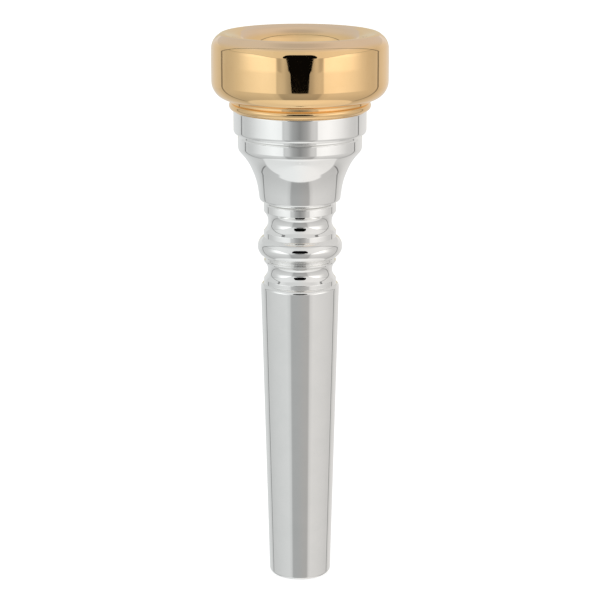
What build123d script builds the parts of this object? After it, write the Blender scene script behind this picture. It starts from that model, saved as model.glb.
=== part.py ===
"""Screw-together trumpet mouthpiece: a rim, a cup and a backbore, with an O-ring at each joint.

Frame: +Z is the axis of the bore, towards the rim. The origin is the centre of the shank's small
end. Lengths are millimetres. Outlines are drawn in the XZ half plane as (radius, height) corners,
and a third number rounds that corner.
"""
from build123d import *
import os
from math import radians, tan

# ---- driving dimensions: the airway --------------------------------------------------------
LENGTH = 87.2  # small end of the shank to the crest of the rim
BITE_R = 8.3  # the lines of the rim's face and of the bowl's wall meet here
BITE_Z = 86.45
BITE_ROUNDING = 3.0
BOWL_LEAN_DEG = 6.0  # how far the bowl's upper wall leans in from the axis
BOWL_KNEE_Z = 79.0  # the wall's line meets the bowl's floor line here
BOWL_KNEE_ROUNDING = 8.2
BOWL_FOOT_Z = 74.2  # the bowl's floor line meets the throat's wall here
BOWL_FOOT_ROUNDING = 2.5
THROAT_R = 1.83  # a number 27 drill, 3.66 mm
BACKBORE_MID_R = 3.4  # airway radius halfway down the backbore
BACKBORE_END_R = 4.2

# ---- driving dimensions: the outside of the rim ---------------------------------------------
RIM_R = 13.5
RIM_SEAT_Z = 75.5  # the rim's skirt stands on the cup here
RIM_UNDERSIDE_Z = 77.2
RIM_UNDERSIDE_ROUNDING = 2.7
RIM_BARREL_Z = 82.9  # the wall swells a little up to here
RIM_BARREL_ROUNDING = 30.0
RIM_SHOULDER = (13.45, 86.0, 2.3)  # radius, height and rounding, as for each corner below
RIM_EDGE = (12.0, LENGTH, 1.2)
RIM_CREST_R = 11.4  # where the face's slope meets the crest
RIM_CREST_ROUNDING = 1.2
RIM_NECK_R = 10.56  # between the rim's body and its bead
RIM_NECK_ROUNDING = 0.2
RIM_BEAD_R = 10.86
RIM_BEAD_Z = 76.17
RIM_BEAD_ROUNDING = 0.67
RIM_FOOT_R = 10.3
RIM_FOOT_TOP_Z = 76.2

# ---- driving dimensions: the outside of the cup ----------------------------------------------
BAND_R = 10.2  # upper band, just below the rim
BAND_BOTTOM_Z = 71.8
BAND_TOP_ROUNDING = 0.3
BAND_BOTTOM_ROUNDING = 0.6
GROOVE_R = 9.36  # between the upper band and the step
GROOVE_BOTTOM_Z = 71.5
GROOVE_ROUNDING = 0.1
STEP_R = 9.56
STEP_TOP = (STEP_R, 71.2, 0.15)
STEP_BOTTOM = (STEP_R, 69.4, 1.25)
WAIST_TOP = (8.05, 67.69, 8.0)
WAIST_BOTTOM = (6.66, 64.65, 11.0)
BACKBORE_SEAT_Z = 61.35  # the cup's foot stands on the backbore here
FOOT_R = 6.22
FOOT_ROUNDING = 0.5

# ---- driving dimensions: the outside of the backbore ------------------------------------------
COLLAR_R = 5.4  # just below the cup's foot
COLLAR_BOTTOM_Z = 61.1
RING_R = 5.63  # the upper ring, and the lands above and below the bead
RING_TOP_Z = 60.75
RING_BOTTOM_Z = 59.72
UPPER_NECK = (4.42, 58.1, 2.1)  # each neck is one deep cove
UPPER_LAND_Z = 56.5
BEAD_R = 6.58  # the large bead between the necks
BEAD_Z = 54.12
BEAD_ROUNDING = 1.8
LOWER_LAND_Z = 52.45
LINE_R = 5.3  # floor of the turned line below the bead
LINE_TOP_Z = 52.3
LINE_BOTTOM_Z = 52.1
LOWER_RING_TOP_Z = 51.95
LOWER_RING_BOTTOM_Z = 51.76
LOWER_NECK = (4.5, 50.55, 1.8)
SHANK_LAND_TOP_Z = 48.95
SHANK_LAND_BOTTOM_Z = 48.25
FINE_ROUNDING = 0.1
EDGE_ROUNDING = 0.2
SHANK_TOP_Z = 48.1
SHANK_TOP_ROUNDING = 0.65
SHANK_END_R = 4.86
SHANK_END_ROUNDING = 0.6
SHANK_TAPER = 0.02603  # gain in radius for each millimetre of height, half of a 1 in 19.2 taper

# ---- driving dimensions: the screw joints ----------------------------------------------------
RIM_PITCH = 0.9
RIM_THREAD_R = 9.4  # crest of the cup's male thread
RIM_THREAD_Z = 77.1
RIM_SPIGOT_Z = 82.6  # end of the cup's spigot, inside the rim
BACKBORE_PITCH = 0.75
BACKBORE_THREAD_R = 3.97  # crest of the backbore's male thread
BACKBORE_THREAD_Z = 62.65
BACKBORE_SPIGOT_Z = 66.65  # end of the backbore's spigot, inside the cup
THREAD_TURNS = 4
THREAD_DEPTH_SHARE = 0.47  # height of a ridge, as a share of the pitch
FLANK_DEG = 30.0
THREAD_GAP = 0.08  # from each crest to the wall that faces it
FLANK_GAP = 0.07  # along the axis, from each flank to the flank that faces it
ROOT_SINK = 0.06  # how far a ridge is let into the wall that carries it
END_GAP = 0.1  # between the end of each spigot and the floor of its socket
SPIGOT_CHAMFER = 0.25

# ---- driving dimensions: the O-rings ---------------------------------------------------------
RIM_GLAND_R = 8.65
RIM_SEAL_SECTION = 0.8
BACKBORE_GLAND_R = 3.4
BACKBORE_SEAL_SECTION = 0.7
SEAL_GAP = 0.05  # between each O-ring and its gland
GLAND_WIDTH_SHARE = 1.35  # width of a gland, as a share of the O-ring's section

# ---- places worked out from those ------------------------------------------------------------
RIM_ROOT_R = RIM_THREAD_R - THREAD_DEPTH_SHARE * RIM_PITCH
RIM_BORE_R = RIM_THREAD_R + THREAD_GAP
RIM_SKIRT_R = RIM_GLAND_R + RIM_SEAL_SECTION + 2 * SEAL_GAP
BACKBORE_ROOT_R = BACKBORE_THREAD_R - THREAD_DEPTH_SHARE * BACKBORE_PITCH
SOCKET_R = BACKBORE_THREAD_R + THREAD_GAP
SOCKET_MOUTH_R = BACKBORE_GLAND_R + BACKBORE_SEAL_SECTION + 2 * SEAL_GAP
SHANK_TOP_R = SHANK_END_R + SHANK_TAPER * SHANK_TOP_Z


def bowl_wall_r(z):
    """Radius of the bowl's upper wall, a straight line that leans in from the bite."""
    return BITE_R - (BITE_Z - z) * tan(radians(BOWL_LEAN_DEG))


def face(corners):
    """Closed face in the XZ half plane from (radius, height) corners, with an optional rounding."""
    points = [(corner[0], corner[1]) for corner in corners]
    rounding = [corner[2] if len(corner) > 2 else 0 for corner in corners]
    return Plane.XZ * make_face(FilletPolyline(*points, radius=rounding, close=True))


def disc(r, z, radius):
    """Round face in the XZ half plane, for a turned bead."""
    return Plane.XZ * Pos(r, z) * Circle(radius)


def turned(section):
    """The solid that a section sweeps in one turn about the bore's axis."""
    return revolve(section, Axis.Z, 360)


def ridge(pitch, root_r, crest_r, start_z):
    """Right-hand helical ridge with straight 60 degree flanks, let a little into its wall."""
    outward = 1 if crest_r > root_r else -1
    spread = tan(radians(FLANK_DEG))
    middle = pitch / 4 - FLANK_GAP / 2
    half_depth = abs(crest_r - root_r) / 2
    crest_half = middle - half_depth * spread
    root_half = middle + (half_depth + ROOT_SINK) * spread
    sunk_r = root_r - outward * ROOT_SINK
    section = Plane.XZ * Pos(0, start_z) * make_face(
        Polyline((sunk_r, -root_half), (crest_r, -crest_half), (crest_r, crest_half),
                 (sunk_r, root_half), close=True))
    path = Pos(0, 0, start_z) * Helix(pitch, THREAD_TURNS * pitch, (root_r + crest_r) / 2)
    return sweep(section, path, is_frenet=True)


def bowl():
    """Airway of the cup: leaning wall, rounded floor, and the throat below it."""
    throat_end_z = BACKBORE_SPIGOT_Z - END_GAP
    return face([
        (0, LENGTH),
        (bowl_wall_r(LENGTH), LENGTH),
        (bowl_wall_r(BOWL_KNEE_Z), BOWL_KNEE_Z, BOWL_KNEE_ROUNDING),
        (THROAT_R, BOWL_FOOT_Z, BOWL_FOOT_ROUNDING),
        (THROAT_R, throat_end_z),
        (0, throat_end_z),
    ])


def backbore_airway():
    """Airway of the backbore: opens from the throat to the shank's end in one long curve."""
    top = BACKBORE_SPIGOT_Z
    flare = ThreePointArc((THROAT_R, top), (BACKBORE_MID_R, top / 2), (BACKBORE_END_R, 0))
    ends = Polyline((BACKBORE_END_R, 0), (0, 0), (0, top), (THROAT_R, top))
    return Plane.XZ * make_face(flare + ends)


def rim_piece():
    """Gold rim: a thick ring with a bead and a threaded skirt below it."""
    inner_floor_z = RIM_SPIGOT_Z + END_GAP
    skirt_step_z = RIM_THREAD_Z - RIM_PITCH / 4
    section = face([
        (RIM_SKIRT_R, RIM_SEAT_Z),
        (RIM_FOOT_R, RIM_SEAT_Z),
        (RIM_NECK_R, RIM_FOOT_TOP_Z),
        (RIM_NECK_R, RIM_UNDERSIDE_Z, RIM_NECK_ROUNDING),
        (RIM_R, RIM_UNDERSIDE_Z, RIM_UNDERSIDE_ROUNDING),
        (RIM_R, RIM_BARREL_Z, RIM_BARREL_ROUNDING),
        RIM_SHOULDER,
        RIM_EDGE,
        (RIM_CREST_R, LENGTH, RIM_CREST_ROUNDING),
        (BITE_R, BITE_Z, BITE_ROUNDING),
        (bowl_wall_r(inner_floor_z), inner_floor_z),
        (RIM_BORE_R, inner_floor_z),
        (RIM_BORE_R, skirt_step_z),
        (RIM_SKIRT_R, skirt_step_z),
    ])
    section += disc(RIM_BEAD_R - RIM_BEAD_ROUNDING, RIM_BEAD_Z, RIM_BEAD_ROUNDING)
    thread = ridge(RIM_PITCH, RIM_BORE_R, RIM_ROOT_R + THREAD_GAP, RIM_THREAD_Z + RIM_PITCH / 2)
    return turned(section) + thread


def cup_piece():
    """Silver cup: male thread for the rim, two bands, a waist, and a socket in its foot."""
    gland_top_z = RIM_SEAT_Z + GLAND_WIDTH_SHARE * RIM_SEAL_SECTION
    outside = face([
        (0, RIM_SPIGOT_Z),
        (RIM_ROOT_R - SPIGOT_CHAMFER, RIM_SPIGOT_Z),
        (RIM_ROOT_R, RIM_SPIGOT_Z - SPIGOT_CHAMFER),
        (RIM_ROOT_R, gland_top_z),
        (RIM_GLAND_R, gland_top_z),
        (RIM_GLAND_R, RIM_SEAT_Z),
        (BAND_R, RIM_SEAT_Z, BAND_TOP_ROUNDING),
        (BAND_R, BAND_BOTTOM_Z, BAND_BOTTOM_ROUNDING),
        (GROOVE_R, BAND_BOTTOM_Z, GROOVE_ROUNDING),
        (GROOVE_R, GROOVE_BOTTOM_Z, GROOVE_ROUNDING),
        STEP_TOP,
        STEP_BOTTOM,
        WAIST_TOP,
        WAIST_BOTTOM,
        (FOOT_R, BACKBORE_SEAT_Z, FOOT_ROUNDING),
        (0, BACKBORE_SEAT_Z),
    ])
    socket_floor_z = BACKBORE_SPIGOT_Z + END_GAP
    mouth_top_z = BACKBORE_THREAD_Z - BACKBORE_PITCH / 4
    socket = face([
        (0, socket_floor_z),
        (SOCKET_R, socket_floor_z),
        (SOCKET_R, mouth_top_z),
        (SOCKET_MOUTH_R, mouth_top_z),
        (SOCKET_MOUTH_R, BACKBORE_SEAT_Z),
        (0, BACKBORE_SEAT_Z),
    ])
    rim_thread = ridge(RIM_PITCH, RIM_ROOT_R, RIM_THREAD_R, RIM_THREAD_Z)
    foot_thread = ridge(BACKBORE_PITCH, SOCKET_R, BACKBORE_ROOT_R + THREAD_GAP,
                        BACKBORE_THREAD_Z + BACKBORE_PITCH / 2)
    return turned(outside - bowl() - socket) + rim_thread + foot_thread


def backbore_piece():
    """Silver backbore: male thread, two rings with necks, the bead, and the tapered shank."""
    gland_top_z = BACKBORE_SEAT_Z + GLAND_WIDTH_SHARE * BACKBORE_SEAL_SECTION
    outside = face([
        (0, BACKBORE_SPIGOT_Z),
        (BACKBORE_ROOT_R - SPIGOT_CHAMFER, BACKBORE_SPIGOT_Z),
        (BACKBORE_ROOT_R, BACKBORE_SPIGOT_Z - SPIGOT_CHAMFER),
        (BACKBORE_ROOT_R, gland_top_z),
        (BACKBORE_GLAND_R, gland_top_z),
        (BACKBORE_GLAND_R, BACKBORE_SEAT_Z),
        (COLLAR_R, BACKBORE_SEAT_Z),
        (COLLAR_R, COLLAR_BOTTOM_Z, FINE_ROUNDING),
        (RING_R, RING_TOP_Z, EDGE_ROUNDING),
        (RING_R, RING_BOTTOM_Z, FINE_ROUNDING),
        UPPER_NECK,
        (RING_R, UPPER_LAND_Z, EDGE_ROUNDING),
        (RING_R, LOWER_LAND_Z, FINE_ROUNDING),
        (LINE_R, LINE_TOP_Z, FINE_ROUNDING),
        (LINE_R, LINE_BOTTOM_Z, FINE_ROUNDING),
        (RING_R, LOWER_RING_TOP_Z, FINE_ROUNDING),
        (RING_R, LOWER_RING_BOTTOM_Z, FINE_ROUNDING),
        LOWER_NECK,
        (RING_R, SHANK_LAND_TOP_Z, EDGE_ROUNDING),
        (RING_R, SHANK_LAND_BOTTOM_Z, FINE_ROUNDING),
        (SHANK_TOP_R, SHANK_TOP_Z, SHANK_TOP_ROUNDING),
        (SHANK_END_R, 0, SHANK_END_ROUNDING),
        (0, 0),
    ])
    outside += disc(BEAD_R - BEAD_ROUNDING, BEAD_Z, BEAD_ROUNDING)
    thread = ridge(BACKBORE_PITCH, BACKBORE_ROOT_R, BACKBORE_THREAD_R, BACKBORE_THREAD_Z)
    return turned(outside - backbore_airway()) + thread


def seal(gland_r, section, seat_z):
    """O-ring in its gland, just above the seat."""
    middle_r = gland_r + SEAL_GAP + section / 2
    middle_z = seat_z + GLAND_WIDTH_SHARE * section / 2
    return Pos(0, 0, middle_z) * Torus(middle_r, section / 2)


def main():
    pieces = {
        "rim": rim_piece(),
        "cup": cup_piece(),
        "backbore": backbore_piece(),
        "rim_seal": seal(RIM_GLAND_R, RIM_SEAL_SECTION, RIM_SEAT_Z),
        "backbore_seal": seal(BACKBORE_GLAND_R, BACKBORE_SEAL_SECTION, BACKBORE_SEAT_Z),
    }
    os.makedirs("parts", exist_ok=True)
    for node, piece in pieces.items():
        export_step(piece, f"parts/{node}.step")


main()
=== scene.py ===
"""Looks of the screw-together trumpet mouthpiece: gold rim, silver cup and backbore, black O-rings.

Each turned piece is a finely divided lathe mesh with exact normals, because a mirror finish shows
every facet. Outlines repeat the CAD's corners, as (radius, height) or (radius, height, rounding) in
millimetres. The studio is a pale floor in a light tent, with a dark camera for the metal to mirror.
"""
from math import acos, atan2, ceil, cos, degrees, hypot, pi, radians, sin, tan
from typing import NamedTuple

import bpy
import numpy as np
from mathutils import Euler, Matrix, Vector


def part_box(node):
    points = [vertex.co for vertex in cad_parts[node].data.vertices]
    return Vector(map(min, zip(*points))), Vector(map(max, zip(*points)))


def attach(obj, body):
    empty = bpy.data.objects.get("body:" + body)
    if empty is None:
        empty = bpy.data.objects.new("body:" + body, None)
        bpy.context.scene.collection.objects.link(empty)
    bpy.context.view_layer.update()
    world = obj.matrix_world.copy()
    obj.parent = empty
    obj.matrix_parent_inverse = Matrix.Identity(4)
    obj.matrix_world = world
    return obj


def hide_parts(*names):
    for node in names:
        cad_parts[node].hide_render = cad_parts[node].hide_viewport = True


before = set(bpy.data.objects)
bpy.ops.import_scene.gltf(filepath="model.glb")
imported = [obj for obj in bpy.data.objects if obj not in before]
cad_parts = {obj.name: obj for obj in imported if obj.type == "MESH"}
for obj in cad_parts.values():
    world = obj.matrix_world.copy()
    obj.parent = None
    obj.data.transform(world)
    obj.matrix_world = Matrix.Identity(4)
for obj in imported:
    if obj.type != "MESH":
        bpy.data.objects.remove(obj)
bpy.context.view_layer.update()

MM = 0.001

# ---- the object's sizes, in millimetres, as in the CAD ---------------------------------------
RIM_BOX = [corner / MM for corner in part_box("rim")]
CUP_BOX = [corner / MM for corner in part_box("cup")]
BACKBORE_BOX = [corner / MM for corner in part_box("backbore")]

LENGTH = RIM_BOX[1].z
RIM_R = RIM_BOX[1].x
RIM_SEAT_Z = RIM_BOX[0].z
BAND_R = CUP_BOX[1].x
RIM_SPIGOT_Z = CUP_BOX[1].z
BACKBORE_SEAT_Z = CUP_BOX[0].z
BEAD_R = BACKBORE_BOX[1].x
BACKBORE_SPIGOT_Z = BACKBORE_BOX[1].z

# the airway
BITE_R = 8.3  # the lines of the rim's face and of the bowl's wall meet here
BITE_Z = 86.45
BITE_ROUNDING = 3.0
BOWL_LEAN_DEG = 6.0  # how far the bowl's upper wall leans in from the axis
BOWL_KNEE_Z = 79.0
BOWL_KNEE_ROUNDING = 8.2
BOWL_FOOT_Z = 74.2
BOWL_FOOT_ROUNDING = 2.5
THROAT_R = 1.83
BACKBORE_MID_R = 3.4
BACKBORE_END_R = 4.2

# the outside of the rim
RIM_UNDERSIDE_Z = 77.2
RIM_UNDERSIDE_ROUNDING = 2.7
RIM_BARREL_Z = 82.9  # the wall swells a little up to here
RIM_BARREL_ROUNDING = 30.0
RIM_SHOULDER = (13.45, 86.0, 2.3)
RIM_EDGE = (12.0, LENGTH, 1.2)
RIM_CREST_R = 11.4
RIM_CREST_ROUNDING = 1.2
RIM_NECK_R = 10.56
RIM_NECK_ROUNDING = 0.2
RIM_BEAD_R = 10.86
RIM_BEAD_Z = 76.17
RIM_BEAD_ROUNDING = 0.67

# the outside of the cup
BAND_BOTTOM_Z = 71.8
BAND_TOP_ROUNDING = 0.3
BAND_BOTTOM_ROUNDING = 0.6
GROOVE_R = 9.36
GROOVE_BOTTOM_Z = 71.5
GROOVE_ROUNDING = 0.1
STEP_TOP = (9.56, 71.2, 0.15)
STEP_BOTTOM = (9.56, 69.4, 1.25)
WAIST_TOP = (8.05, 67.69, 8.0)
WAIST_BOTTOM = (6.66, 64.65, 11.0)
FOOT_R = 6.22
FOOT_ROUNDING = 0.5

# the outside of the backbore
COLLAR_R = 5.4
COLLAR_BOTTOM_Z = 61.1
RING_R = 5.63
RING_TOP_Z = 60.75
RING_BOTTOM_Z = 59.72
UPPER_NECK = (4.42, 58.1, 2.1)  # each neck is one deep cove
UPPER_LAND_Z = 56.5
BEAD_Z = 54.12
BEAD_ROUNDING = 1.8
LOWER_LAND_Z = 52.45
LINE_R = 5.3
LINE_TOP_Z = 52.3
LINE_BOTTOM_Z = 52.1
LOWER_RING_TOP_Z = 51.95
LOWER_RING_BOTTOM_Z = 51.76
LOWER_NECK = (4.5, 50.55, 1.8)
SHANK_LAND_TOP_Z = 48.95
SHANK_LAND_BOTTOM_Z = 48.25
FINE_ROUNDING = 0.1
EDGE_ROUNDING = 0.2
SHANK_TOP_Z = 48.1
SHANK_TOP_ROUNDING = 0.65
SHANK_END_R = 4.86
SHANK_END_ROUNDING = 0.6
SHANK_TAPER = 0.02603  # gain in radius for each millimetre of height
SHANK_TOP_R = SHANK_END_R + SHANK_TAPER * SHANK_TOP_Z

# the screw joints and their O-rings
RIM_PITCH = 0.9
RIM_THREAD_R = 9.4  # crest of the cup's male thread
RIM_THREAD_Z = 77.1
BACKBORE_PITCH = 0.75
BACKBORE_THREAD_R = 3.97  # crest of the backbore's male thread
BACKBORE_THREAD_Z = 62.65
THREAD_TURNS = 4
THREAD_DEPTH_SHARE = 0.47  # height of a ridge, as a share of the pitch
FLANK_DEG = 30.0
THREAD_GAP = 0.08  # from each crest to the wall that faces it
FLANK_GAP = 0.07  # along the axis, from each flank to the flank that faces it
ROOT_SINK = 0.06  # how far a ridge is let into the wall that carries it
END_GAP = 0.1  # between the end of each spigot and the floor of its socket
SPIGOT_CHAMFER = 0.25
RIM_GLAND_R = 8.65
RIM_SEAL_SECTION = 0.8
BACKBORE_GLAND_R = 3.4
BACKBORE_SEAL_SECTION = 0.7
SEAL_GAP = 0.05  # between each O-ring and its gland
GLAND_WIDTH_SHARE = 1.35  # width of a gland, as a share of the O-ring's section

RIM_ROOT_R = RIM_THREAD_R - THREAD_DEPTH_SHARE * RIM_PITCH
RIM_BORE_R = RIM_THREAD_R + THREAD_GAP
RIM_SKIRT_R = RIM_GLAND_R + RIM_SEAL_SECTION + 2 * SEAL_GAP
BACKBORE_ROOT_R = BACKBORE_THREAD_R - THREAD_DEPTH_SHARE * BACKBORE_PITCH
SOCKET_R = BACKBORE_THREAD_R + THREAD_GAP
SOCKET_MOUTH_R = BACKBORE_GLAND_R + BACKBORE_SEAL_SECTION + 2 * SEAL_GAP

# ---- how finely the meshes are divided -------------------------------------------------------
COLUMNS = 360  # round the axis
ARC_STEP_DEG = 4.0  # along the rounded corners
RIDGE_STEPS = 96  # along each turn of a thread
RIDGE_FADE_TURNS = 0.12  # a thread rises over this much of a turn at each end
RIDGE_LEAST = 0.02  # share of a thread's height where it starts
SHORTEST_SPAN = 1e-6  # millimetres; a shorter straight stretch of an outline is left out
DECIMALS = 5  # places, in millimetres, to which the points of an outline are matched

POLISHED, MACHINED = 0, 1  # material slots of a turned piece


# ---- outlines --------------------------------------------------------------------------------
class Bulge(NamedTuple):
    """A round stretch of an outline: part of a circle, from one angle to the other."""
    r: float
    z: float
    radius: float
    start_deg: float
    end_deg: float


class Corner(NamedTuple):
    """A corner of an outline. What follows it, up to the next corner, has the finish."""
    r: float
    z: float
    rounding: float = 0.0
    finish: int = POLISHED


def machined(r, z, rounding=0.0):
    return Corner(r, z, rounding, MACHINED)


def arc_spans(centre, radius, start, end, finish):
    """Short spans along an arc, each (point, normal, point, normal, finish)."""
    count = max(2, ceil(abs(end - start) / radians(ARC_STEP_DEG)))
    angles = [start + (end - start) * i / count for i in range(count + 1)]
    out = [(cos(a), sin(a)) for a in angles]
    points = [(centre[0] + radius * c, centre[1] + radius * s) for c, s in out]
    return [(points[i], out[i], points[i + 1], out[i + 1], finish) for i in range(count)]


def rounded_corner(before, corner, after):
    """Where a corner's rounding starts and ends, its centre, and the two angles."""
    def towards(end):
        length = hypot(end[0] - corner.r, end[1] - corner.z)
        return (end[0] - corner.r) / length, (end[1] - corner.z) / length

    to_before, to_after = towards(before), towards(after)
    half = acos(to_before[0] * to_after[0] + to_before[1] * to_after[1]) / 2
    reach = corner.rounding / tan(half)
    middle = to_before[0] + to_after[0], to_before[1] + to_after[1]
    depth = corner.rounding / sin(half) / hypot(*middle)
    centre = corner.r + middle[0] * depth, corner.z + middle[1] * depth
    start = corner.r + to_before[0] * reach, corner.z + to_before[1] * reach
    end = corner.r + to_after[0] * reach, corner.z + to_after[1] * reach
    start_angle = atan2(start[1] - centre[1], start[0] - centre[0])
    turn = atan2(end[1] - centre[1], end[0] - centre[0]) - start_angle
    turn = (turn + pi) % (2 * pi) - pi
    return start, end, centre, start_angle, start_angle + turn


def ends_of(item):
    """First and last point of one item of an outline, before any rounding."""
    if isinstance(item, Bulge):
        return tuple((item.r + item.radius * cos(radians(a)), item.z + item.radius * sin(radians(a)))
                     for a in (item.start_deg, item.end_deg))
    return (item[0], item[1]), (item[0], item[1])


def spans(outline):
    """A closed outline, anticlockwise in (radius, height), as spans with outward normals."""
    items = [item if isinstance(item, (Bulge, Corner)) else Corner(*item) for item in outline]
    pieces = []
    for i, item in enumerate(items):
        if isinstance(item, Bulge):
            start, end = ends_of(item)
            arc = arc_spans((item.r, item.z), item.radius,
                            radians(item.start_deg), radians(item.end_deg), POLISHED)
            pieces.append((start, end, arc, POLISHED))
        elif item.rounding:
            before = ends_of(items[i - 1])[1]
            after = ends_of(items[(i + 1) % len(items)])[0]
            start, end, centre, a0, a1 = rounded_corner(before, item, after)
            pieces.append((start, end, arc_spans(centre, item.rounding, a0, a1, item.finish), item.finish))
        else:
            pieces.append(((item.r, item.z), (item.r, item.z), [], item.finish))
    result = []
    for i, (start, end, arc, finish) in enumerate(pieces):
        result += arc
        following = pieces[(i + 1) % len(pieces)][0]
        along = following[0] - end[0], following[1] - end[1]
        length = hypot(*along)
        if length > SHORTEST_SPAN:
            normal = along[1] / length, -along[0] / length
            result.append((end, normal, following, normal, finish))
    return [outward(span) for span in result]


def outward(span):
    """The same span with its normals on the right-hand side of its direction."""
    (r0, z0), n0, (r1, z1), n1, finish = span
    side = (z1 - z0) * (n0[0] + n1[0]) - (r1 - r0) * (n0[1] + n1[1])
    if side < 0:
        n0, n1 = (-n0[0], -n0[1]), (-n1[0], -n1[1])
    return (r0, z0), n0, (r1, z1), n1, finish


# ---- meshes ----------------------------------------------------------------------------------
class Shell:
    """Vertices, quads, a normal for each quad's corner, and each quad's finish."""

    def __init__(self):
        self.points, self.quads, self.normals, self.finishes = [], [], [], []
        self.size = 0

    def add(self, points, quads, normals, finishes):
        self.points.append(points)
        self.quads.append(quads + self.size)
        self.normals.append(normals)
        self.finishes.append(finishes)
        self.size += len(points)

    def piece(self, name, materials):
        mesh = bpy.data.meshes.new(name)
        points = np.concatenate(self.points) * MM
        quads = np.concatenate(self.quads)
        mesh.from_pydata(points.tolist(), [], quads.tolist())
        mesh.polygons.foreach_set("material_index", np.concatenate(self.finishes).astype(np.int32))
        mesh.polygons.foreach_set("use_smooth", np.ones(len(quads), bool))
        for material in materials:
            mesh.materials.append(material)
        mesh.normals_split_custom_set(np.concatenate(self.normals).reshape(-1, 3).tolist())
        mesh.update()
        obj = bpy.data.objects.new(name, mesh)
        bpy.context.scene.collection.objects.link(obj)
        return obj


def matched(point):
    """A point of an outline, rounded so that the end of one span is the start of the next."""
    return round(point[0], DECIMALS), round(point[1], DECIMALS)


def turned(shell, outline):
    """Adds the surface that a closed outline sweeps about the Z axis."""
    profile = spans(outline)
    corners = {}
    for start, _, end, _, _ in profile:
        for point in (start, end):
            corners.setdefault(matched(point), len(corners))
    rz = np.array(list(corners))
    angle = np.arange(COLUMNS) * 2 * pi / COLUMNS
    ring = np.stack([np.cos(angle), np.sin(angle)], 1)
    points = np.empty((len(rz), COLUMNS, 3))
    points[..., :2] = rz[:, None, :1] * ring
    points[..., 2] = rz[:, 1:]
    here, there = np.arange(COLUMNS), (np.arange(COLUMNS) + 1) % COLUMNS

    def spun(normal, columns):
        return np.column_stack([normal[0] * ring[columns], np.full(COLUMNS, normal[1])])

    quads, normals, finishes = [], [], []
    for start, n0, end, n1, finish in profile:
        a = corners[matched(start)] * COLUMNS
        b = corners[matched(end)] * COLUMNS
        quads.append(np.stack([a + here, a + there, b + there, b + here], 1))
        normals.append(np.stack([spun(n0, here), spun(n0, there), spun(n1, there), spun(n1, here)], 1))
        finishes.append(np.full(COLUMNS, finish))
    shell.add(points.reshape(-1, 3), np.concatenate(quads), np.concatenate(normals),
              np.concatenate(finishes))


def ridge(shell, pitch, root_r, crest_r, start_z):
    """Adds a right-hand thread: a ridge with straight flanks that fades in at each end."""
    outward_sign = 1 if crest_r > root_r else -1
    spread = tan(radians(FLANK_DEG))
    middle = pitch / 4 - FLANK_GAP / 2
    half_depth = abs(crest_r - root_r) / 2
    crest_half = middle - half_depth * spread
    root_half = middle + (half_depth + ROOT_SINK) * spread
    sunk_r = root_r - outward_sign * ROOT_SINK
    steps = np.linspace(0, THREAD_TURNS, THREAD_TURNS * RIDGE_STEPS + 1)
    rise = np.clip(np.minimum(steps, THREAD_TURNS - steps) / RIDGE_FADE_TURNS, RIDGE_LEAST, 1)
    angle = steps * 2 * pi
    crest = sunk_r + (crest_r - sunk_r) * rise
    lower, upper = [-root_half, -crest_half], [crest_half, root_half]
    radii = np.stack([np.full_like(crest, sunk_r), crest, crest, np.full_like(crest, sunk_r)], 1)
    heights = start_z + steps[:, None] * pitch + np.array(lower + upper)[None]
    points = np.stack([radii * np.cos(angle)[:, None], radii * np.sin(angle)[:, None], heights], 2)
    count = len(steps)
    quads, normals = [], []
    order = range(4) if outward_sign > 0 else range(3, -1, -1)
    sides = list(order) + [list(order)[0]]
    forward = np.gradient(points, axis=0)
    for a, b in zip(sides[:-1], sides[1:]):
        i = np.arange(count - 1)
        quads.append(np.stack([i * 4 + a, (i + 1) * 4 + a, (i + 1) * 4 + b, i * 4 + b], 1))
        across = points[:, b] - points[:, a]
        normal = np.cross(forward[:, a] + forward[:, b], across)
        normal /= np.linalg.norm(normal, axis=1)[:, None]
        normals.append(np.stack([normal[:-1], normal[1:], normal[1:], normal[:-1]], 1))
    for step, cap in ((0, sides[:4]), (count - 1, sides[3::-1])):
        quads.append(np.array([[step * 4 + k for k in cap]]))
        flat = np.cross(points[step, cap[1]] - points[step, cap[0]],
                        points[step, cap[2]] - points[step, cap[1]])
        normals.append(np.tile(flat / np.linalg.norm(flat), (1, 4, 1)))
    quads, normals = np.concatenate(quads), np.concatenate(normals)
    shell.add(points.reshape(-1, 3), quads, normals, np.full(len(quads), MACHINED))


# ---- the pieces ------------------------------------------------------------------------------
def bowl_wall_r(z):
    """Radius of the bowl's upper wall, a straight line that leans in from the bite."""
    return BITE_R - (BITE_Z - z) * tan(radians(BOWL_LEAN_DEG))


def rim_outline():
    inner_floor_z = RIM_SPIGOT_Z + END_GAP
    skirt_step_z = RIM_THREAD_Z - RIM_PITCH / 4
    bead_centre_r = RIM_BEAD_R - RIM_BEAD_ROUNDING
    bead_end = degrees(acos((RIM_NECK_R - bead_centre_r) / RIM_BEAD_ROUNDING))
    return [
        machined(RIM_SKIRT_R, RIM_SEAT_Z),
        Bulge(bead_centre_r, RIM_BEAD_Z, RIM_BEAD_ROUNDING, -90, bead_end),
        (RIM_NECK_R, RIM_UNDERSIDE_Z, RIM_NECK_ROUNDING),
        (RIM_R, RIM_UNDERSIDE_Z, RIM_UNDERSIDE_ROUNDING),
        (RIM_R, RIM_BARREL_Z, RIM_BARREL_ROUNDING),
        RIM_SHOULDER,
        RIM_EDGE,
        (RIM_CREST_R, LENGTH, RIM_CREST_ROUNDING),
        (BITE_R, BITE_Z, BITE_ROUNDING),
        machined(bowl_wall_r(inner_floor_z), inner_floor_z),
        machined(RIM_BORE_R, inner_floor_z),
        machined(RIM_BORE_R, skirt_step_z),
        machined(RIM_SKIRT_R, skirt_step_z),
    ]


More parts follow.
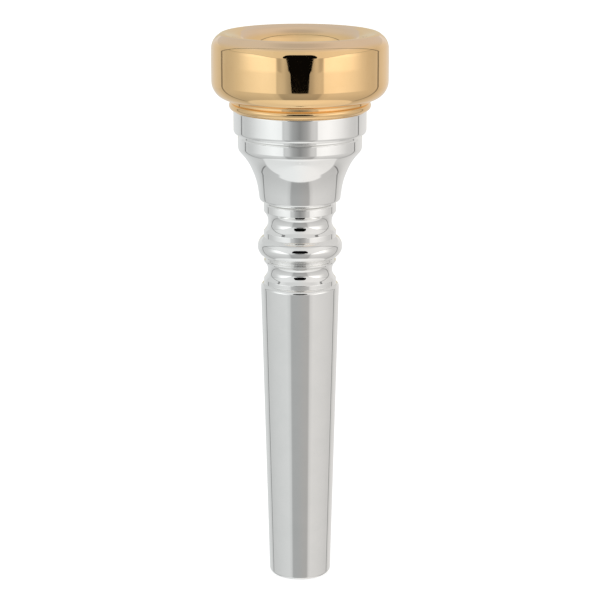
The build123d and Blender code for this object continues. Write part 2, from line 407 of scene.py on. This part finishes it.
def cup_outline():
    gland_top_z = RIM_SEAT_Z + GLAND_WIDTH_SHARE * RIM_SEAL_SECTION
    socket_floor_z = BACKBORE_SPIGOT_Z + END_GAP
    mouth_top_z = BACKBORE_THREAD_Z - BACKBORE_PITCH / 4
    return [
        machined(SOCKET_MOUTH_R, BACKBORE_SEAT_Z),
        (FOOT_R, BACKBORE_SEAT_Z, FOOT_ROUNDING),
        WAIST_BOTTOM,
        WAIST_TOP,
        STEP_BOTTOM,
        STEP_TOP,
        (GROOVE_R, GROOVE_BOTTOM_Z, GROOVE_ROUNDING),
        (GROOVE_R, BAND_BOTTOM_Z, GROOVE_ROUNDING),
        (BAND_R, BAND_BOTTOM_Z, BAND_BOTTOM_ROUNDING),
        (BAND_R, RIM_SEAT_Z, BAND_TOP_ROUNDING),
        machined(RIM_GLAND_R, RIM_SEAT_Z),
        machined(RIM_GLAND_R, gland_top_z),
        machined(RIM_ROOT_R, gland_top_z),
        machined(RIM_ROOT_R, RIM_SPIGOT_Z - SPIGOT_CHAMFER),
        machined(RIM_ROOT_R - SPIGOT_CHAMFER, RIM_SPIGOT_Z),
        (bowl_wall_r(RIM_SPIGOT_Z), RIM_SPIGOT_Z),
        (bowl_wall_r(BOWL_KNEE_Z), BOWL_KNEE_Z, BOWL_KNEE_ROUNDING),
        (THROAT_R, BOWL_FOOT_Z, BOWL_FOOT_ROUNDING),
        machined(THROAT_R, socket_floor_z),
        machined(SOCKET_R, socket_floor_z),
        machined(SOCKET_R, mouth_top_z),
        machined(SOCKET_MOUTH_R, mouth_top_z),
    ]


def flare_corner():
    """The corner whose rounding is the backbore's long curve, from the throat to the shank's end."""
    top = THROAT_R, BACKBORE_SPIGOT_Z
    middle = BACKBORE_MID_R, BACKBORE_SPIGOT_Z / 2
    end = BACKBORE_END_R, 0
    rows = [[2 * (middle[k] - p[k]) for k in range(2)] for p in (top, end)]
    sums = [sum(middle[k] ** 2 - p[k] ** 2 for k in range(2)) for p in (top, end)]
    centre = np.linalg.solve(rows, sums)
    out = [np.array(p) - centre for p in (top, end)]
    radius = float(np.linalg.norm(out[0]))
    corner = centre + (out[0] + out[1]) * radius ** 2 / (radius ** 2 + float(out[0] @ out[1]))
    return machined(float(corner[0]), float(corner[1]), radius)


def backbore_outline():
    gland_top_z = BACKBORE_SEAT_Z + GLAND_WIDTH_SHARE * BACKBORE_SEAL_SECTION
    bead_centre_r = BEAD_R - BEAD_ROUNDING
    bead_end = degrees(acos((RING_R - bead_centre_r) / BEAD_ROUNDING))
    return [
        (SHANK_END_R, 0, SHANK_END_ROUNDING),
        (SHANK_TOP_R, SHANK_TOP_Z, SHANK_TOP_ROUNDING),
        (RING_R, SHANK_LAND_BOTTOM_Z, FINE_ROUNDING),
        (RING_R, SHANK_LAND_TOP_Z, EDGE_ROUNDING),
        LOWER_NECK,
        (RING_R, LOWER_RING_BOTTOM_Z, FINE_ROUNDING),
        (RING_R, LOWER_RING_TOP_Z, FINE_ROUNDING),
        (LINE_R, LINE_BOTTOM_Z, FINE_ROUNDING),
        (LINE_R, LINE_TOP_Z, FINE_ROUNDING),
        (RING_R, LOWER_LAND_Z, FINE_ROUNDING / 4),
        Bulge(bead_centre_r, BEAD_Z, BEAD_ROUNDING, -bead_end, bead_end),
        (RING_R, UPPER_LAND_Z, EDGE_ROUNDING),
        UPPER_NECK,
        (RING_R, RING_BOTTOM_Z, FINE_ROUNDING),
        (RING_R, RING_TOP_Z, EDGE_ROUNDING),
        (COLLAR_R, COLLAR_BOTTOM_Z, FINE_ROUNDING),
        machined(COLLAR_R, BACKBORE_SEAT_Z),
        machined(BACKBORE_GLAND_R, BACKBORE_SEAT_Z),
        machined(BACKBORE_GLAND_R, gland_top_z),
        machined(BACKBORE_ROOT_R, gland_top_z),
        machined(BACKBORE_ROOT_R, BACKBORE_SPIGOT_Z - SPIGOT_CHAMFER),
        machined(BACKBORE_ROOT_R - SPIGOT_CHAMFER, BACKBORE_SPIGOT_Z),
        machined(THROAT_R, BACKBORE_SPIGOT_Z),
        flare_corner(),
        (BACKBORE_END_R, 0),
    ]


def make_rim(materials):
    shell = Shell()
    turned(shell, rim_outline())
    ridge(shell, RIM_PITCH, RIM_BORE_R, RIM_ROOT_R + THREAD_GAP, RIM_THREAD_Z + RIM_PITCH / 2)
    return shell.piece("gold_rim", materials)


def make_cup(materials):
    shell = Shell()
    turned(shell, cup_outline())
    ridge(shell, RIM_PITCH, RIM_ROOT_R, RIM_THREAD_R, RIM_THREAD_Z)
    ridge(shell, BACKBORE_PITCH, SOCKET_R, BACKBORE_ROOT_R + THREAD_GAP,
          BACKBORE_THREAD_Z + BACKBORE_PITCH / 2)
    return shell.piece("silver_cup", materials)


def make_backbore(materials):
    shell = Shell()
    turned(shell, backbore_outline())
    ridge(shell, BACKBORE_PITCH, BACKBORE_ROOT_R, BACKBORE_THREAD_R, BACKBORE_THREAD_Z)
    return shell.piece("silver_backbore", materials)


def make_seal(name, gland_r, section, seat_z, materials):
    """O-ring, lying in its gland with the seal's gap all round."""
    shell = Shell()
    centre_r = gland_r + SEAL_GAP + section / 2
    centre_z = seat_z + GLAND_WIDTH_SHARE * section / 2
    turned(shell, [Bulge(centre_r, centre_z, section / 2, -180, 180)])
    return shell.piece(name, materials)


# ---- materials: colours, and marks whose scales are counted in each millimetre ---------------
GOLD = (1.0, 0.68, 0.345)
GOLD_WORN = (0.97, 0.65, 0.32)
GOLD_PAINTED_SHEEN = (0.97, 0.71, 0.47)  # painted sheen: paler gold on the face of the rim, standing in for its paler reflection there
GOLD_TOOLED = (0.93, 0.62, 0.26)
GOLD_TOOLED_STAIN = (0.75, 0.47, 0.2)
SILVER = (0.97, 0.965, 0.95)
SILVER_WORN = (0.94, 0.94, 0.925)
SILVER_TOOLED = (0.88, 0.87, 0.85)
SILVER_TOOLED_STAIN = (0.7, 0.69, 0.66)
RUBBER_DARK = (0.012, 0.012, 0.013)
RUBBER_PALE = (0.03, 0.03, 0.031)
CAMERA_BLACK = (0.003, 0.003, 0.003)
PURE_WHITE = (1.0, 1.0, 1.0)

PLATE_ROUGHNESS = 0.03
MARK_DEPTH = 0.0006  # millimetres, of lathe lines and hairlines
MARK_STRENGTH = 0.25
LATHE_SCALE = 9.0  # along the axis
LATHE_ROUND_SCALE = 0.6  # round it, where the lines hardly change
HAIR_SCALE = 0.32
HAIR_WIDTH = 0.0035  # how far the noise is from its middle at a hairline's edge
HAIR_ROUGHNESS = 0.12
HANDLED_SCALE = 0.11
HANDLED_SPREAD = (0.45, 0.7)  # noise values where hairlines start, and where they are full
SMUDGE_SCALE = 0.16
SMUDGE_SPREAD = (0.42, 0.72)
SMUDGE_ROUGHNESS = 0.03
WEAR_SCALE = 0.24
WEAR_SPREAD = (0.35, 0.75)
PAINTED_SHEEN_Z = (85.7, 86.5)  # heights between which the rim's plate turns paler: painted sheen on the rim's face

TOOL_MARK_SCALE = 14.0
TOOL_MARK_DEPTH = 0.012
TOOL_MARK_STRENGTH = 0.4
RING_SPREAD = (0.3, 0.7)
TOOLED_ROUGHNESS = (0.16, 0.3)
STAIN_SCALE = 0.5
STAIN_SPREAD = (0.3, 0.75)

GRAIN_SCALE = 14.0
GRAIN_DEPTH = 0.01
GRAIN_STRENGTH = 0.3
GREASE_SCALE = 0.9
GREASE_SPREAD = (0.4, 0.65)
GREASE_SHINE = 0.3  # how much less rough the rubber is where it is greasy
RUBBER_ROUGHNESS = 0.55

MIX_FACTOR, MIX_A, MIX_B = 0, 6, 7  # places of a colour mix's inputs
MIX_RESULT = 2


class Nodes:
    """Short names for adding and joining the nodes of one material or world."""

    def __init__(self, owner):
        owner.use_nodes = True
        self.tree = owner.node_tree
        self.tree.nodes.clear()

    def add(self, kind, inputs=None, **settings):
        node = self.tree.nodes.new(kind)
        for key, value in settings.items():
            setattr(node, key, value)
        for key, value in (inputs or {}).items():
            self.put(node, key, value)
        return node

    def put(self, node, key, value):
        socket = node.inputs[key]
        if isinstance(value, bpy.types.Node):
            value = value.outputs[0]
        if isinstance(value, bpy.types.NodeSocket):
            self.tree.links.new(value, socket)
        else:
            socket.default_value = value

    def math(self, operation, *values, clamp=False):
        return self.add("ShaderNodeMath", dict(enumerate(values)), operation=operation, use_clamp=clamp)

    def smooth(self, value, low, high, to_low=0.0, to_high=1.0):
        """Rises smoothly from one output to the other as the value goes from low to high."""
        return self.add("ShaderNodeMapRange", {0: value, 1: low, 2: high, 3: to_low, 4: to_high},
                        interpolation_type="SMOOTHSTEP")

    def noise(self, vector, scale, detail=2.0, roughness=0.5):
        inputs = {"Vector": vector, "Scale": scale, "Detail": detail, "Roughness": roughness}
        return self.add("ShaderNodeTexNoise", inputs)

    def ramp(self, value, stops):
        """A colour ramp from stops of (position, grey or colour)."""
        node = self.add("ShaderNodeValToRGB", {0: value})
        elements = node.color_ramp.elements
        while len(elements) < len(stops):
            elements.new(0.5)
        for element, (position, colour) in zip(elements, stops):
            element.position = position
            element.color = (*colour, 1) if isinstance(colour, tuple) else (colour,) * 3 + (1,)
        return node

    def mix(self, factor, a, b, blend_type="MIX"):
        """One colour, or a share of the second in place of the first."""
        inputs = {MIX_FACTOR: factor, MIX_A: a, MIX_B: b}
        node = self.add("ShaderNodeMix", inputs, data_type="RGBA", blend_type=blend_type)
        return node.outputs[MIX_RESULT]

    def product(self, *factors):
        result = factors[0]
        for factor in factors[1:]:
            result = self.math("MULTIPLY", result, factor)
        return result


def turned_coordinates(nodes):
    """Unit direction round the axis, height and place, in millimetres, so that marks run round the piece."""
    place = nodes.add("ShaderNodeTexCoord").outputs["Object"]
    parts = nodes.add("ShaderNodeSeparateXYZ", {0: place})
    flat = nodes.add("ShaderNodeCombineXYZ", {0: parts.outputs[0], 1: parts.outputs[1], 2: 0.0})
    round_the_axis = nodes.add("ShaderNodeVectorMath", {0: flat}, operation="NORMALIZE")
    height = nodes.math("MULTIPLY", parts.outputs[2], 1 / MM)
    in_mm = nodes.add("ShaderNodeVectorMath", {0: place, "Scale": 1 / MM}, operation="SCALE")
    return round_the_axis, height, in_mm


def opaque(colour):
    return (*colour, 1)


def plated(name, base, worn, painted_sheen=None):
    """Polished plate: fine lines round the piece, hairline scratches, and faint handling haze.

    The last colour, if given, is painted sheen: paler plate on the rim's face, standing in for its paler
    reflection there.
    """
    material = bpy.data.materials.new(name)
    nodes = Nodes(material)
    round_the_axis, height, in_mm = turned_coordinates(nodes)
    parts = nodes.add("ShaderNodeSeparateXYZ", {0: round_the_axis})
    stretched = nodes.add("ShaderNodeCombineXYZ", {
        0: nodes.math("MULTIPLY", parts.outputs[0], LATHE_ROUND_SCALE),
        1: nodes.math("MULTIPLY", parts.outputs[1], LATHE_ROUND_SCALE),
        2: nodes.math("MULTIPLY", height, LATHE_SCALE)})
    lathe_lines = nodes.noise(stretched, 1.0, detail=3.0, roughness=0.6)
    hairs = nodes.noise(in_mm, HAIR_SCALE, detail=4.0, roughness=0.62)
    off_hair = nodes.math("ABSOLUTE", nodes.math("SUBTRACT", hairs, 0.5))
    hair = nodes.smooth(off_hair, 0.0, HAIR_WIDTH, 1.0, 0.0)
    where_handled = nodes.smooth(nodes.noise(in_mm, HANDLED_SCALE), *HANDLED_SPREAD)
    hair = nodes.math("MULTIPLY", hair, where_handled)
    smudges = nodes.noise(in_mm, SMUDGE_SCALE, detail=3.0, roughness=0.6)
    smudge = nodes.smooth(smudges, *SMUDGE_SPREAD)
    rough = nodes.math("ADD", PLATE_ROUGHNESS, nodes.math("MULTIPLY", smudge, SMUDGE_ROUGHNESS))
    rough = nodes.math("ADD", rough, nodes.math("MULTIPLY", hair, HAIR_ROUGHNESS), clamp=True)
    worn_places = nodes.noise(in_mm, WEAR_SCALE, detail=4.0, roughness=0.65)
    wear = nodes.smooth(worn_places, *WEAR_SPREAD)
    colour = nodes.mix(wear, opaque(base), opaque(worn))
    # painted sheen: near the top of the rim, its face turns paler gold, standing in for its paler reflection
    # there
    if painted_sheen:
        colour = nodes.mix(nodes.smooth(height, *PAINTED_SHEEN_Z), colour, opaque(painted_sheen))
    bump = nodes.add("ShaderNodeBump", {
        "Height": lathe_lines, "Strength": MARK_STRENGTH, "Distance": MARK_DEPTH * MM})
    bump = nodes.add("ShaderNodeBump", {
        "Height": hair, "Strength": MARK_STRENGTH, "Distance": -MARK_DEPTH * MM, "Normal": bump})
    shader = nodes.add("ShaderNodeBsdfPrincipled", {
        "Base Color": colour, "Metallic": 1.0, "Roughness": rough, "Normal": bump})
    nodes.add("ShaderNodeOutputMaterial", {"Surface": shader})
    return material


def machined_metal(name, base, darker):
    """Plated over the marks of the tool: close rings, and duller than the polished outside."""
    material = bpy.data.materials.new(name)
    nodes = Nodes(material)
    round_the_axis, height, in_mm = turned_coordinates(nodes)
    parts = nodes.add("ShaderNodeSeparateXYZ", {0: round_the_axis})
    stretched = nodes.add("ShaderNodeCombineXYZ", {
        0: parts.outputs[0], 1: parts.outputs[1], 2: nodes.math("MULTIPLY", height, TOOL_MARK_SCALE)})
    rings = nodes.noise(stretched, 1.0)
    stains = nodes.noise(in_mm, STAIN_SCALE, detail=4.0, roughness=0.6)
    stain = nodes.smooth(stains, *STAIN_SPREAD)
    colour = nodes.mix(stain, opaque(base), opaque(darker))
    rough = nodes.smooth(rings, *RING_SPREAD, *TOOLED_ROUGHNESS)
    bump = nodes.add("ShaderNodeBump", {
        "Height": rings, "Strength": TOOL_MARK_STRENGTH, "Distance": TOOL_MARK_DEPTH * MM})
    shader = nodes.add("ShaderNodeBsdfPrincipled", {
        "Base Color": colour, "Metallic": 1.0, "Roughness": rough, "Normal": bump})
    nodes.add("ShaderNodeOutputMaterial", {"Surface": shader})
    return material


def seal_rubber():
    """Black nitrile: dull, faintly mottled, with a trace of grease that shines in places."""
    material = bpy.data.materials.new("seal_rubber")
    nodes = Nodes(material)
    _, _, in_mm = turned_coordinates(nodes)
    grain = nodes.noise(in_mm, GRAIN_SCALE, detail=3.0, roughness=0.6)
    grease = nodes.smooth(nodes.noise(in_mm, GREASE_SCALE, detail=3.0), *GREASE_SPREAD)
    colour = nodes.mix(grain, opaque(RUBBER_DARK), opaque(RUBBER_PALE))
    rough = nodes.math("SUBTRACT", RUBBER_ROUGHNESS, nodes.math("MULTIPLY", grease, GREASE_SHINE))
    bump = nodes.add("ShaderNodeBump", {
        "Height": grain, "Strength": GRAIN_STRENGTH, "Distance": GRAIN_DEPTH * MM})
    shader = nodes.add("ShaderNodeBsdfPrincipled", {"Base Color": colour, "Roughness": rough, "Normal": bump})
    nodes.add("ShaderNodeOutputMaterial", {"Surface": shader})
    return material


def glowing(name, brightness):
    """Plain surface of one colour that lights itself, for the studio."""
    material = bpy.data.materials.new(name)
    nodes = Nodes(material)
    glow = nodes.add("ShaderNodeEmission", {"Color": opaque(brightness), "Strength": 1.0})
    nodes.add("ShaderNodeOutputMaterial", {"Surface": glow})
    return material


# ---- the studio ------------------------------------------------------------------------------
CAMERA_PLACE = (0.0, -288.086, 121.087)
CAMERA_PITCH_DEG = 14.738
CAMERA_LENS = 113.885
SENSOR = 36.0
CLIP_NEAR_M, CLIP_FAR_M = 0.01, 20
FLOOR_HALF_M = 6.0
FLOOR_GREY = (0.9, 0.9, 0.9)
FLOOR_GLOW = 0.55
BACKDROP_R_M = 5.5
BACKDROP_SINK_M = 0.01  # how far its edge is below the floor
BACKDROP_ROWS = 16
BACKDROP_COLUMNS = 48


def make_camera():
    data = bpy.data.cameras.new("camera")
    data.lens = CAMERA_LENS
    data.sensor_width = SENSOR
    data.clip_start, data.clip_end = CLIP_NEAR_M, CLIP_FAR_M
    camera = bpy.data.objects.new("camera", data)
    camera.location = Vector(CAMERA_PLACE) * MM
    camera.rotation_euler = Euler((radians(90 - CAMERA_PITCH_DEG), 0, 0))
    bpy.context.scene.collection.objects.link(camera)
    bpy.context.scene.camera = camera


def only_in_view(obj, camera=False, glossy=False, diffuse=False, shadow=False):
    """Says which rays see a piece of the studio."""
    obj.visible_camera = camera
    obj.visible_glossy = glossy
    obj.visible_diffuse = diffuse
    obj.visible_transmission = camera
    obj.visible_shadow = shadow


def make_floor():
    """Pale floor, which glows a little like a light table."""
    half = FLOOR_HALF_M
    corners = [(-half, -half, 0), (half, -half, 0), (half, half, 0), (-half, half, 0)]
    mesh = bpy.data.meshes.new("floor")
    mesh.from_pydata(corners, [], [(0, 1, 2, 3)])
    material = bpy.data.materials.new("floor")
    nodes = Nodes(material)
    shader = nodes.add("ShaderNodeBsdfPrincipled", {
        "Base Color": opaque(FLOOR_GREY), "Roughness": 0.9, "Specular IOR Level": 0.0,
        "Emission Color": opaque(PURE_WHITE), "Emission Strength": FLOOR_GLOW})
    nodes.add("ShaderNodeOutputMaterial", {"Surface": shader})
    mesh.materials.append(material)
    floor = bpy.data.objects.new("floor", mesh)
    bpy.context.scene.collection.objects.link(floor)
    only_in_view(floor, camera=True, diffuse=True, shadow=True)


def make_backdrop():
    """Pale shell round the whole studio, for views that look above the floor's edge."""
    mesh = bpy.data.meshes.new("backdrop")
    rows, columns = BACKDROP_ROWS, BACKDROP_COLUMNS
    points, quads = [], []
    for i in range(rows + 1):
        lift = pi / 2 * i / rows
        level = BACKDROP_R_M * cos(lift)
        for j in range(columns):
            turn = 2 * pi * j / columns
            points.append((level * cos(turn), level * sin(turn), BACKDROP_R_M * sin(lift) - BACKDROP_SINK_M))
    for i in range(rows):
        for j in range(columns):
            k = (j + 1) % columns
            quads.append((i * columns + j, i * columns + k, (i + 1) * columns + k, (i + 1) * columns + j))
    mesh.from_pydata(points, [], quads)
    mesh.materials.append(glowing("backdrop", PURE_WHITE))
    backdrop = bpy.data.objects.new("backdrop", mesh)
    bpy.context.scene.collection.objects.link(backdrop)
    only_in_view(backdrop, camera=True)


# Half of the dark camera's outline, downwards: (half width, height) in millimetres
CAMERA_OUTLINE = [(66, 192), (84, 184), (98, 165), (108, 135), (113, 100), (112, 75), (107, 61), (97, 57.5),
                  (86, 55.8), (79, 54.6), (72, 52.5), (67.5, 51), (65, 48), (62, 44), (58, 40.5), (53, 38),
                  (45, 36.5)]


def make_dark_camera():
    """The camera on its column, seen only in the metal."""
    outline = CAMERA_OUTLINE + [(-x, z) for x, z in reversed(CAMERA_OUTLINE)]
    mesh = bpy.data.meshes.new("dark_camera")
    mesh.from_pydata([Vector((x, CAMERA_PLACE[1], z)) * MM for x, z in outline], [],
                     [tuple(range(len(outline)))])
    mesh.materials.append(glowing("camera_black", CAMERA_BLACK))
    obj = bpy.data.objects.new("dark_camera", mesh)
    bpy.context.scene.collection.objects.link(obj)
    only_in_view(obj, glossy=True)


# ---- the light tent ----------------------------------------------------------------------------
# Brightness by degrees round from the camera: the tent's walls, their upper part, the table that the
# object stands on, and the bright sheet under it
WALLS = [(0, 0.25), (12, 0.36), (16, 0.44), (20, 0.56), (25, 0.62), (29.5, 0.61), (31.5, 0.92), (42, 0.97),
         (50, 0.98), (58, 0.94), (67, 0.88), (77, 0.80), (87, 0.70), (98, 0.61), (110, 0.57), (125, 0.64),
         (136, 0.70), (158, 0.76), (180, 0.78)]
UPPER = [(0, 0.70), (22, 0.74), (45, 0.80), (75, 0.80), (95, 0.68), (125, 0.64), (150, 0.64), (180, 0.62)]
TABLE = [(0, 0.405), (23, 0.405), (26.5, 0.43), (30, 0.60), (40, 0.68), (60, 0.66), (90, 0.62), (110, 0.58),
         (125, 0.58), (140, 0.68), (160, 0.72), (180, 0.70)]
SHEET = [(0, 0.87), (60, 0.85), (100, 0.78), (140, 0.74), (180, 0.74)]
CEILING = [(0.0, 0.66), (1.0, 0.52)]  # from its edge to straight overhead

# Elevations, in degrees, over which one part of the tent gives way to the next
SHEET_EDGE = (-54.0, -51.5)
TABLE_EDGE = (-16.0, -11.0)
CEILING_EDGE = (40.0, 52.0)
CEILING_SPREAD = (60.0, 85.0)
TABLE_SHADE_SPREAD = (-50.0, -18.0)  # the table is a little darker below
TABLE_SHADE = 0.14
NO_LIGHT = (0.0, 0.0, 0.0)

# The lamps' glare on the walls, from the table's edge up, by elevation and then by degrees round
GLARE_BOTTOM = (-8.8, -4.2)
GLARE_TOP = (12.0, 24.0)
GLARE_START = (27.0, 33.0)
GLARE_END = (62.0, 90.0)
GLARE_SHARE = 0.25
GLARE_WHITE = (2.0, 2.0, 2.0)

# The front panel's top edge climbs from one elevation to the other, and has a dark fold along it
PANEL_EDGE = (-6.0, 13.0)
PANEL_CLIMB = (22.0, 66.0)
PANEL_EDGE_WIDTH = 1.5
FOLD_HALF_WIDTH = (0.7, 1.8)
FOLD_START = (21.0, 26.0)
FOLD_END = (105.0, 117.0)
FOLD_SHARE = 0.7
FOLD_GREY = (0.40, 0.40, 0.40)

# The opening at the tent's back, and the room seen through it
GAP_START = (162.0, 168.0)
GAP_TOP = (20.0, 25.0)
GAP_BOTTOM = (-12.0, -6.0)
GAP_COLOUR = (0.68, 0.63, 0.50)

# The dark seam where the tent's front joins its back: an arch over the object
SEAM_PLACE = 0.515
SEAM_HALF_WIDTH = (0.021, 0.036)
SEAM_LEAN = 1.06  # how far the arch leans back as it rises
SEAM_SPREAD = 0.25  # how much less it leans at the sides
SEAM_BOTTOM = (-53.0, -48.0)
SEAM_SHARE = 0.9
SEAM_GREY = (0.19, 0.19, 0.19)

# The tent is a little cooler to the camera's left and warmer to its right
TINT_SPREAD = (-0.25, 0.35)
LEFT_TINT = (0.965, 0.990, 0.995)
RIGHT_TINT = (1.03, 1.01, 0.99)


class View(NamedTuple):
    """The direction that the world's shader colours."""
    x: bpy.types.NodeSocket
    z: bpy.types.NodeSocket
    from_camera: bpy.types.Node
    height: bpy.types.Node


def view_direction(nodes):
    """Degrees round from the camera and degrees above the horizon, with two of the direction's parts."""
    way = nodes.add("ShaderNodeSeparateXYZ", {0: nodes.add("ShaderNodeTexCoord").outputs["Generated"]})
    x, y, z = way.outputs
    azimuth = nodes.math("DEGREES", nodes.math("ARCTAN2", x, nodes.math("MULTIPLY", y, -1.0)))
    height = nodes.math("DEGREES", nodes.math("ARCSINE", z))
    return View(x, z, nodes.math("ABSOLUTE", azimuth), height)


def add_walls(nodes, view, walls, upper):
    """The walls with the lamps' glare, up to the front panel's top edge and its fold."""
    glare = nodes.product(nodes.smooth(view.height, *GLARE_BOTTOM),
                          nodes.smooth(view.height, *GLARE_TOP, 1.0, 0.0),
                          nodes.smooth(view.from_camera, *GLARE_START),
                          nodes.smooth(view.from_camera, *GLARE_END, GLARE_SHARE, 0.0))
    walls = nodes.mix(glare, walls, opaque(GLARE_WHITE))
    edge_height = nodes.smooth(view.from_camera, *PANEL_CLIMB, *PANEL_EDGE)
    above_edge = nodes.math("SUBTRACT", view.height, edge_height)
    colour = nodes.mix(nodes.smooth(above_edge, 0.0, PANEL_EDGE_WIDTH), walls, upper)
    off_edge = nodes.math("ABSOLUTE", above_edge)
    fold = nodes.product(nodes.smooth(off_edge, *FOLD_HALF_WIDTH, FOLD_SHARE, 0.0),
                         nodes.smooth(view.from_camera, *FOLD_START),
                         nodes.smooth(view.from_camera, *FOLD_END, 1.0, 0.0))
    return nodes.mix(fold, colour, opaque(FOLD_GREY))


def add_gap(nodes, view, colour):
    """The opening at the tent's back."""
    gap = nodes.product(nodes.smooth(view.from_camera, *GAP_START),
                        nodes.smooth(view.height, *GAP_TOP, 1.0, 0.0),
                        nodes.smooth(view.height, *GAP_BOTTOM))
    return nodes.mix(gap, colour, opaque(GAP_COLOUR))


def add_seam(nodes, view, colour):
    """The dark seam: an upright line at each side, which arches over towards the back."""
    above = nodes.math("MAXIMUM", view.z, 0.0)
    level = nodes.math("SQRT", nodes.math("SUBTRACT", 1.0, nodes.math("MULTIPLY", above, above)))
    back = nodes.math("MULTIPLY", nodes.math("COSINE", nodes.math("RADIANS", view.from_camera)), -1.0)
    side = nodes.math("MULTIPLY", nodes.math("ABSOLUTE", view.x), SEAM_SPREAD)
    over = nodes.math("MULTIPLY", nodes.math("SUBTRACT", SEAM_LEAN, side), above)
    seam = nodes.math("ADD", nodes.math("MULTIPLY", back, level), over)
    off_seam = nodes.math("ABSOLUTE", nodes.math("SUBTRACT", seam, SEAM_PLACE))
    on_seam = nodes.product(nodes.smooth(off_seam, *SEAM_HALF_WIDTH, SEAM_SHARE, 0.0),
                            nodes.smooth(view.height, *SEAM_BOTTOM))
    return nodes.mix(on_seam, colour, opaque(SEAM_GREY))


def make_light():
    """Light tent as a world, by direction: walls lit from each side of the camera, table and ceiling."""
    world = bpy.data.worlds.new("tent")
    bpy.context.scene.world = world
    nodes = Nodes(world)
    view = view_direction(nodes)
    share = nodes.math("DIVIDE", view.from_camera, 180.0)
    walls, upper, table, sheet = (nodes.ramp(share, [(d / 180, value) for d, value in stops])
                                  for stops in (WALLS, UPPER, TABLE, SHEET))
    colour = add_walls(nodes, view, walls, upper)
    shade = nodes.smooth(view.height, *TABLE_SHADE_SPREAD, TABLE_SHADE, 0.0)
    table = nodes.mix(shade, table, opaque(NO_LIGHT))
    colour = nodes.mix(nodes.smooth(view.height, *TABLE_EDGE), table, colour)
    colour = nodes.mix(nodes.smooth(view.height, *SHEET_EDGE, 1.0, 0.0), colour, sheet)
    ceiling = nodes.ramp(nodes.smooth(view.height, *CEILING_SPREAD), CEILING)
    colour = nodes.mix(nodes.smooth(view.height, *CEILING_EDGE), colour, ceiling)
    colour = add_gap(nodes, view, colour)
    colour = add_seam(nodes, view, colour)
    tint = nodes.mix(nodes.smooth(view.x, *TINT_SPREAD), opaque(LEFT_TINT), opaque(RIGHT_TINT))
    colour = nodes.mix(1.0, colour, tint, "MULTIPLY")
    background = nodes.add("ShaderNodeBackground", {"Color": colour, "Strength": 1.0})
    nodes.add("ShaderNodeOutputWorld", {"Surface": background})


# ---- putting it together ---------------------------------------------------------------------
def main():
    gold = plated("gold_plate", GOLD, GOLD_WORN, GOLD_PAINTED_SHEEN)
    gold_machined = machined_metal("gold_machined", GOLD_TOOLED, GOLD_TOOLED_STAIN)
    silver = plated("silver_plate", SILVER, SILVER_WORN)
    silver_machined = machined_metal("silver_machined", SILVER_TOOLED, SILVER_TOOLED_STAIN)
    rubber = seal_rubber()

    for piece, node, slot in (
        (make_rim([gold, gold_machined]), "rim", "gold_plate"),
        (make_cup([silver, silver_machined]), "cup", "silver_plate"),
        (make_backbore([silver, silver_machined]), "backbore", "silver_plate"),
        (make_seal("black_rim_seal", RIM_GLAND_R, RIM_SEAL_SECTION, RIM_SEAT_Z, [rubber]),
         "rim_seal", "seal_rubber"),
        (make_seal("black_backbore_seal", BACKBORE_GLAND_R, BACKBORE_SEAL_SECTION, BACKBORE_SEAT_Z, [rubber]),
         "backbore_seal", "seal_rubber"),
    ):
        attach(piece, node)
        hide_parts(node)

    make_camera()
    make_floor()
    make_backdrop()
    make_dark_camera()
    make_light()
    bpy.context.scene.view_settings.view_transform = "Standard"


main()
